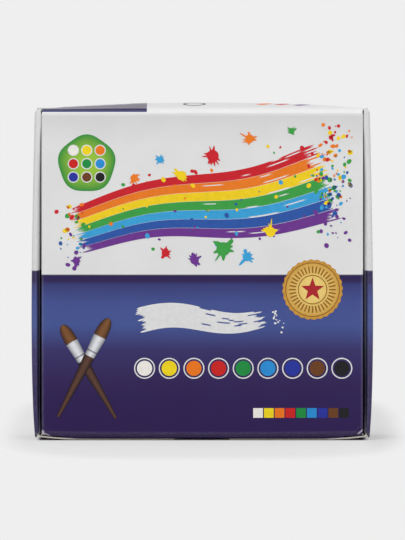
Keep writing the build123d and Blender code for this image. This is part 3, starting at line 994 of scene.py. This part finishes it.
def faded_disc(name, middle, radius, waves, depth, ink):
    """A disc with waves round its edge, whose ink fades outwards by the square of the radius."""
    shares = np.linspace(0.02, 1, 8)
    angle = np.linspace(0, 2 * pi, 96, endpoint=False)
    field = blot(*middle, radius * (1 + depth * sin(waves * angle)), shares=shares)
    core = disc(*middle, radius * shares[0], points=96)
    fade = np.tile(np.repeat(shares**2, 96), 2)
    return print_on(name, [field, core], ink, shade=np.concatenate([fade, np.zeros(len(core[0]))]))


faded_disc("print_badge", badge, 10.8, 5, 0.035, printed_ink("offset_ink_leaf", "#9cc43c", "#2f8a3c"))
rings, dots = [], {}
for number, name in enumerate(jar_colours):
    u, v = badge[0] + (number % 3 - 1) * dot_pitch, badge[1] - (number // 3 - 1) * dot_pitch
    rings.append(disc(u, v, 2.15, 2))
    dots[name] = [disc(u, v, 1.75, 3)]
print("dots on the badge:", len(dots))

# %% Seal
seal_radius, ring_radii, ray_ends = 11.4, (10.4, 5.6), np.array([6.3, 8.9])
faded_disc("print_seal", seal, seal_radius, 28, 0.022, printed_ink("offset_ink_gold", "#ecd07a", "#c08a30"))
gold_lines = [disc(*seal, radius, 2, radius - 0.35, 72) for radius in ring_radii]
for turn in np.arange(36) * pi / 18:
    half = np.array([[0.28], [-0.28]])
    u = seal[0] + ray_ends * cos(turn) - half * sin(turn)
    v = seal[1] + ray_ends * sin(turn) + half * cos(turn)
    gold_lines.append(patch((u, v), 2))
star = blot(*seal, np.tile([4.6, 1.9], 5), 2, turn=pi / 2)
print_on("print_seal_rings", gold_lines, printed_ink("offset_ink_deep_gold", "#94601c"))
print_on("print_seal_star", [star], printed_ink("offset_ink_seal_red", "#a8242a"))
print("seal is", 2 * seal_radius, "mm across")

# %% [markdown]
# ## White stroke, samples and brushes on the violet
#
# A broad white stroke takes the place where a carton carries its title. Under it stand nine colour samples
# in thin rings, and a bar of the same colours in the corner. Two brushes cross at the left: a printed brush
# looks round because its ink is darker towards its edges, so its bands carry that shade from side to side.

# %% White stroke and colour samples


def title_path(t):
    """Middle line of the white stroke: one slow wave that rises to the right."""
    return -25 + 50 * t, 45.5 + 1.5 * t + 1.9 * sin(2 * pi * t)


stroke = brush_stroke(title_path, lambda t: 9.6 * (1 - 0.35 * t**2), 15, 0.06, 0.55)
for _ in range(14):
    u, v = 27 + abs(dice.normal(0, 2.0)), 45.5 + dice.normal(0, 2.6)
    if math.dist((u, v), seal) > 14:
        stroke.append(drop(u, v, dice.uniform(0.2, 0.6)))
for number, name in enumerate(jar_colours):
    u, v, left = -22 + number * 9.4, 27.5, 19.4 + number * 4.1
    rings.append(disc(u, v, 4.0, hole=3.55, points=48))
    dots[name] += [disc(u, v, 2.9), patch(np.meshgrid([left, left + 3.7], [8.6, 12.3]))]
print_on("print_white_stroke", stroke, white_ink)
print_on("print_white_rings", rings, white_ink)
for name, shells in dots.items():
    print_on(f"print_sample_{name}", shells, sample_inks[name])
print("samples:", len(dots))

# %% Two crossed brushes
brush_parts = {  # ends as shares of the brush's length, width at both, layer, and shades of the ink
    "handle": (0.0, 0.62, 1.2, 4.2, 0, "#5d3f33", "#140d12"),
    "ferrule": (0.615, 0.82, 3.9, 5.0, 1, "#e2e3e6", "#70727f"),
    "rings": (0.66, 0.672, 4.3, 4.3, 2, "#8b8d99", "#30323c"),
    "hair": (0.815, 1.0, 5.0, 0.0, 1, "#7d5230", "#2c1a13"),
}
brush_lines = [((-33, 8.5), (-53.5, 44), 1), ((-55, 9), (-35.5, 46.5), 4)]
across = np.linspace(-1, 1, 7)
for part, (start, end, first, last, layer, *shades) in brush_parts.items():
    t = np.linspace(start, end, 21)
    share = (t - start) / (end - start)
    width = first + (last - first) * share
    if part == "hair":  # rounded off at its tip
        width = first * np.sqrt(np.clip(1 - share**3, 0.002, 1))
    shells = []
    for foot, tip, over in brush_lines:
        shells.append(patch(band(straight(foot, tip), t, width, rows=len(across)), over + layer))
    ink = printed_ink(f"offset_ink_brush_{part}", *shades)
    print_on(f"print_brush_{part}", shells, ink, shade=np.tile(np.repeat(np.abs(across) ** 1.5, len(t)), 4))
print("brush parts:", list(brush_parts))

# %% [markdown]
# ## Print on the other sides
#
# The top has a pale stroke on its violet block, a dark ring and three dabs. Each side wall has an upright
# row of the nine colours, and the back a larger set over an empty frame.

# %% Top, sides and back


def on_top(x, y, lift):
    """A drawing laid on the swelling top panel."""
    return grid(x, y, top_surface_z(x, y) + lift)


def on_side(side):
    """A function that lays a drawing on the left or right wall, which bows out towards its front edge."""

    def surface(y, z, lift):
        share = (floor_y - y) / (floor_y - face_y - rim_outer_radius)
        return grid(side * (wall_half + wall_bow(z) * share + lift), y, z)

    return surface


def on_back(x, z, lift):
    """A drawing laid on the outside of the base panel."""
    return grid(x, base_high[1] + lift, z)


for number, name in enumerate(jar_colours):
    low = 17.5 + 10.2 * number
    square = np.meshgrid([-4.0, 4.0], stations(low, (low + 8.0, 4)))
    shells = [patch(square, surface=on_side(side)) for side in (-1, 1)]
    shells.append(disc(17 * (1 - number % 3), 95 - 17 * (number // 3 - 1), 6.2, surface=on_back))
    print_on(f"print_wall_{name}", shells, sample_inks[name], body="tray")

frame_corners = [(-34, 16), (34, 16), (34, 46), (-34, 46), (-34, 16)]
past_corner = np.linspace(-0.006, 1.006, 3)
sides = zip(frame_corners, frame_corners[1:])
pale = [patch(band(straight(start, end), past_corner, 0.8), surface=on_back) for start, end in sides]
pale += brush_stroke(straight((-52, -3), (-27, -1)), lambda t: 6 + 0 * t, 9, 0.08, 0.4, surface=on_top)
print_on("print_walls_white", pale, white_ink, body="tray")
dark_ink = printed_ink("offset_ink_navy", "#241d44")
print_on("print_top_ring", [disc(-3, -8, 4.4, hole=3.5, points=48, surface=on_top)], dark_ink, body="tray")
dabs = {"orange": (24, -6), "scarlet": (31, -5), "violet": (38, -6)}
for colour, (u, v) in dabs.items():
    line = straight((u - 2.5, v - 3), (u + 2.5, v + 4))
    dab = brush_stroke(line, lambda t: 3 + 0 * t, 5, 0.1, 0.2, surface=on_top)
    print_on(f"print_top_{colour}", dab, sweep_inks[colour], body="tray")
print("dabs on top:", len(dabs))

# %% [markdown]
# ## Jars
#
# A jar is blown from natural polypropylene, a milky plastic that lets the paint's colour through. Its cap is
# moulded from white polypropylene, and a foam disc inside seals the jar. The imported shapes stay, and get
# each plastic's finish: even in colour, with a very fine texture from the mould. Gouache is an opaque,
# chalky paint with slow streaks of a lighter and a darker tone. Each cap has a paper disc in its colour, in
# the shallow recess of its top, so that the jars can be told apart.

# %% Plastics, paint and the paper discs on the caps
mould = (0.6, 0.004)
milky = {"Roughness": 0.3, "Transmission_Weight": 0.45, "IOR": 1.49}
jar_finishes = {
    "jar_body": new_finish("natural_polypropylene", "#e6e8e4", mould, **milky),
    "jar_cap": new_finish("white_polypropylene", "#e4e2dc", mould, Roughness=0.36),
    "cap_liner": new_finish("foamed_polyethylene", "#d6d5cf", mould, Roughness=0.8),
}
recess = 0.3  # depth of the sunk field in a cap
label_radius, label_border = 12.0, 1.6
for colour, shade in jar_colours.items():

    def streaked(add, place, shade=shade):
        return mottled(add, place, shade, 4, 0.88, 4.0, 0.5, 1.5)

    paint = new_finish(f"gouache_{colour}", streaked, (1.5, 0.05), Roughness=0.6, Specular_IOR_Level=0.35)
    for kind, finish in {**jar_finishes, "paint": paint}.items():
        dress(f"{kind}_{colour}", finish)
    low, high = box_mm(f"jar_cap_{colour}")
    u, _, v = (low + high) / 2

    def on_cap(x, z, lift, top_y=low[1] + recess):
        """A drawing laid in the recess on top of the cap."""
        return grid(x, top_y - lift, z)

    paper = disc(u, v, label_radius, 2, points=64, surface=on_cap)
    field = disc(u, v, label_radius - label_border, 3, points=64, surface=on_cap)
    print_on(f"cap_label_{colour}", [paper], white_ink, body=f"cap_{colour}")
    print_on(f"cap_label_field_{colour}", [field], sample_inks[colour], body=f"cap_{colour}")
print("jars dressed:", len(jar_colours))

# %% [markdown]
# ## Floor, backdrop and light
#
# The photograph was taken on a white table that runs into an even pale grey, in soft light from the front
# and above. The middle of a large plane takes the box's shadow, and further out it shows the backdrop's
# plain grey, so that there is no horizon. Round the box some plain grey makes the shadow as pale as it is
# there.

# %% The floor and the sky
backdrop = "#efefef"
floor_half, floor_z = 20.0, -0.00003
shade_middle = (0.0005, 0.085, 0.0)  # middle and half sizes, in metres, of the floor that takes shadow
shade_reach = (0.082, 0.235, 1.0)
beside_box, before_box, behind_box = (0.0615, 0.0635), (-0.0205, -0.0215), (0.02, 0.03)
plain_left, plain_front, plain_right = 0.65, 0.72, 0.33  # share of plain grey in the shadow on each side
sky_strength = 0.5


def seen_rays(add):
    """1 for rays that meet the floor or the sky from the camera, a mirror or through a clear solid."""
    rays = add("LightPath").node.outputs
    seen = add("Math", rays["Is Camera Ray"], rays["Is Glossy Ray"])
    return add("Math", seen, rays["Is Transmission Ray"], use_clamp=True)


def floor_look(add):
    """A matt white table near the box, which turns to plain grey over an ellipse on the floor."""
    place = add("TexCoord", give="Object")
    scaled = add("VectorMath", place, shade_middle, operation="SUBTRACT")
    scaled = add("VectorMath", scaled, shade_reach, operation="DIVIDE")
    squared = add("VectorMath", scaled, scaled, operation="MULTIPLY")
    far = add("MapRange", add("VectorMath", squared, give="Value", operation="LENGTH"), 0.64, 1.0)
    sides = add("SeparateXYZ", place).node.outputs
    clear = add("MapRange", add("Math", sides["X"], operation="ABSOLUTE"), *beside_box)
    for depth in (before_box, behind_box):
        clear = add("Math", clear, add("MapRange", sides["Y"], *depth), operation="MAXIMUM")
    # each side's share of glowing grey lifts the table's real shadow: painted light
    near = add("MapRange", sides["X"], -0.0655, -0.0605, plain_left, plain_front)
    near = add("MapRange", sides["X"], 0.0605, 0.0655, near, plain_right)
    share = add("Math", clear, add("MapRange", far, 0.0, 1.0, near, 1.0), operation="MULTIPLY")
    share = add("Math", seen_rays(add), share, operation="MULTIPLY")
    # near the box the glowing grey is darker than the backdrop: a painted shadow round the box
    plain_and_painted_shadow = add("Emission", add("Mix", far, "#e5e5e5", backdrop), 1.0)
    return add("MixShader", share, add("BsdfDiffuse", "#e8e8e8"), plain_and_painted_shadow)


def sky_look(add):
    """Even light from all round, which camera, mirror and see-through rays meet as the backdrop's grey."""
    light = add("Background", (1, 1, 1, 1), sky_strength)
    return add("MixShader", seen_rays(add), light, add("Background", backdrop, 1.0))


table, studio = bpy.data.materials.new("matt_white_table"), bpy.data.worlds.new("studio")
for owner, look, output in ((table, floor_look, "Material Output"), (studio, sky_look, "World Output")):
    owner.use_nodes = True
    tree = owner.node_tree
    tree.links.new(look(partial(add_node, tree)), tree.nodes[output].inputs["Surface"])
bpy.context.scene.world = studio
mesh = bpy.data.meshes.new("floor")
corners = [(x * floor_half, y * floor_half, floor_z) for x, y in ((-1, -1), (1, -1), (1, 1), (-1, 1))]
mesh.from_pydata(corners, [], [(0, 1, 2, 3)])
mesh.materials.append(table)
floor = bpy.data.objects.new("floor", mesh)
bpy.context.scene.collection.objects.link(floor)
print("floor is", 2 * floor_half, "m wide")

# %% The lamps
lamps = {  # place, size and power of each square panel
    "key_panel": ((-0.7, -1.9, 1.25), 1.2, 14.1),
    "fill_panel": ((0.8, -1.8, 1.0), 1.2, 9.0),
    "back_panel": ((0.0, 0.9, 1.7), 1.2, 4.5),
    "overhead_panel": ((0.0, -0.1, 1.9), 1.6, 7.5),
}
box_middle = (0, 0, 0.06)
for name, (place, size, power) in lamps.items():
    data = bpy.data.lights.new(name, "AREA")
    data.shape, data.size, data.energy = "SQUARE", size, power
    aimed(data, place, box_middle)
print("lamps:", list(lamps))
